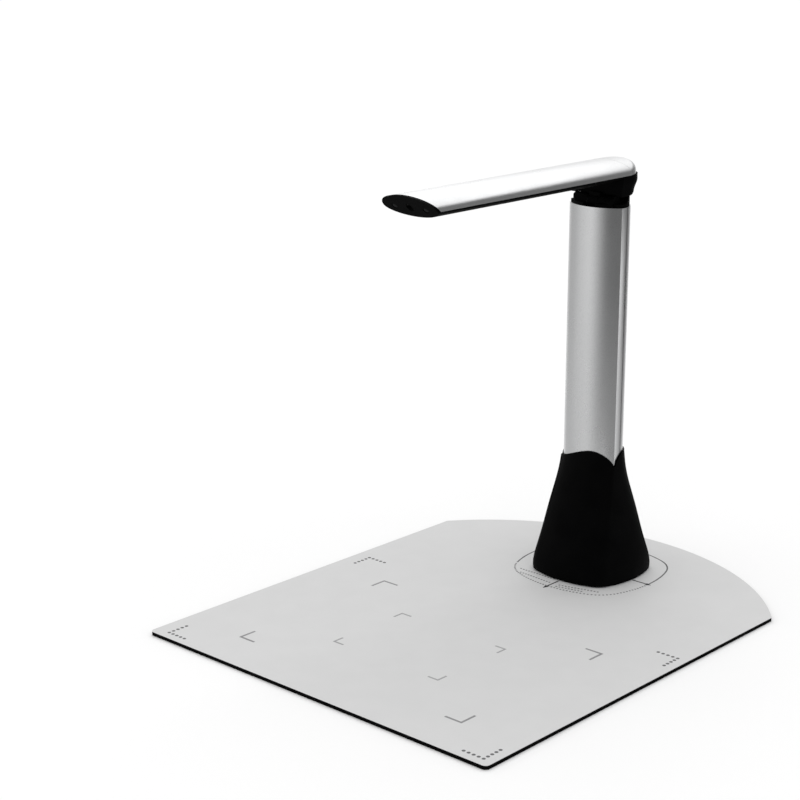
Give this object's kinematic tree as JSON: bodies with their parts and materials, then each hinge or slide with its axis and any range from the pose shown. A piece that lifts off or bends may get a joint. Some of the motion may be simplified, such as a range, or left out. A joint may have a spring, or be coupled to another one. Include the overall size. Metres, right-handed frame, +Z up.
{
  "type": "document camera",
  "caption": "Desktop document camera: flared foot, oval column and a folding oval arm with a slanted camera head, standing on a mat marked with paper sizes.",
  "frame": {"origin": "on the ground under the middle of the bounding box of the mat, which is also that of the whole object", "axes": "+Z up, +Y from the user towards the stand (the mat's length), +X to the user's right (the mat's width)"},
  "size_m": [0.318, 0.405, 0.3261],
  "materials": {
    "mat_print": "light grey printed film, fine matte",
    "mat_foam": "black foam rubber",
    "black_satin": "black, fine satin texture",
    "black_matte": "black matte",
    "ballast": "cast weight",
    "rubber": "non-slip rubber",
    "steel": "zinc plated",
    "black_steel": "black oxide",
    "aluminium": "satin anodised, fine brushing along the length",
    "brass": "plain turned",
    "bright_metal": "nickel plated",
    "board": "green solder mask",
    "chip": "moulded black packages",
    "ribbon": "white flat cable",
    "nylon": "black nylon",
    "lens": "coated lens",
    "lamp": "smoked diffuser"
  },
  "bodies": {
    "mat": {"mat_backing": "mat_foam", "mat_sheet": "mat_print"},
    "stand": {"foot_shell": "black_satin", "foot_base": "black_matte", "foot_ballast": "ballast", "foot_pads": "rubber", "base_screws": "steel", "column_front": "aluminium", "column_rear": "aluminium", "column_screws": "steel", "column_ribbon": "ribbon", "main_board": "board", "board_standoffs": "brass", "board_screws": "steel", "board_components": "chip", "usb_socket": "bright_metal", "usb_tongue": "black_matte", "neck": "black_satin", "neck_screws": "black_steel", "hinge_covers": "black_satin", "hinge_pin": "black_steel", "hinge_nut": "black_steel", "disc_springs": "black_steel", "friction_washers": "nylon"},
    "arm": {"arm_bracket": "black_satin", "bracket_screws": "steel", "arm_shell": "aluminium", "arm_rear_cap": "aluminium", "under_cover": "black_matte", "cover_screws": "black_steel", "head_bezel": "black_matte", "lens_holder": "black_matte", "lens_barrel": "black_steel", "lens_glass": "lens", "sensor_board": "board", "image_sensor": "chip", "lamp_boards": "board", "lamp_lenses": "lamp", "arm_ribbon": "ribbon"}
  },
  "joints": [
    {"name": "stand_lift", "type": "slide", "parent": "mat", "child": "stand", "axis": [0, 0, 1], "range_m": [0, 0.05]},
    {"name": "arm_fold", "type": "hinge", "parent": "stand", "child": "arm", "pos_m": [-0.0024, 0.111, 0.296], "axis": [1, 0, 0], "range_deg": [0, 90]}
  ]
}
